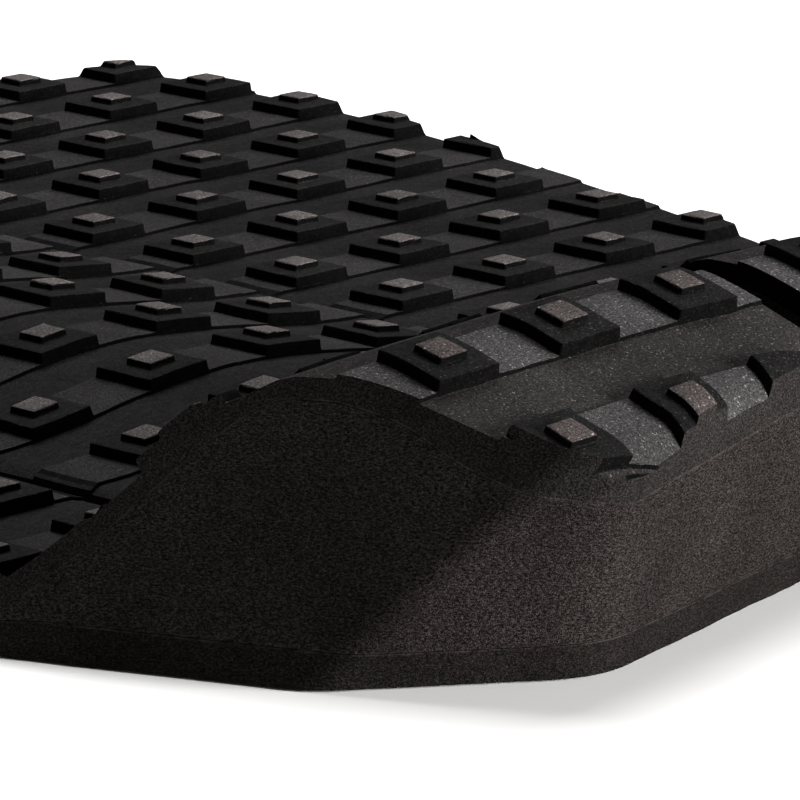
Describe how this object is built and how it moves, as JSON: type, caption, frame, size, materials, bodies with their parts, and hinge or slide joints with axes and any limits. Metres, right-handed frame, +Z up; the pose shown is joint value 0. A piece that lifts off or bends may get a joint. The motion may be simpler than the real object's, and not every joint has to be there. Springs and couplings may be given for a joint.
{
  "type": "traction pad",
  "caption": "Foam traction pad in three sections with a low centre arch, stepped square studs and a split raised kick at the tail, on a peel-off backing.",
  "frame": {"origin": "Centre of the bounding box in plan, on the underside of the release liners, where the pad meets the board.", "axes": "+X across the board to the pad's right edge, +Y along the board from the raised kick to the nose edge, +Z up, away from the board."},
  "size_m": [0.2728, 0.2738, 0.0355],
  "materials": {
    "release_liner": "smooth siliconised peel-off paper",
    "adhesive_film": "tacky translucent pressure-sensitive film",
    "base_sheet": "closed-cell foam with a fine cut edge",
    "foam_core": "closed-cell foam, sanded cut faces",
    "studded_tread": "moulded foam skin with a fine grain"
  },
  "bodies": {
    "root": {"centre_release_liner": "release_liner", "centre_adhesive_film": "adhesive_film", "centre_base_sheet": "base_sheet", "centre_arch_core": "foam_core", "centre_tread": "studded_tread", "left_release_liner": "release_liner", "left_adhesive_film": "adhesive_film", "left_base_sheet": "base_sheet", "left_kick_core": "foam_core", "left_tread": "studded_tread", "right_release_liner": "release_liner", "right_adhesive_film": "adhesive_film", "right_base_sheet": "base_sheet", "right_kick_core": "foam_core", "right_tread": "studded_tread"}
  },
  "joints": []
}
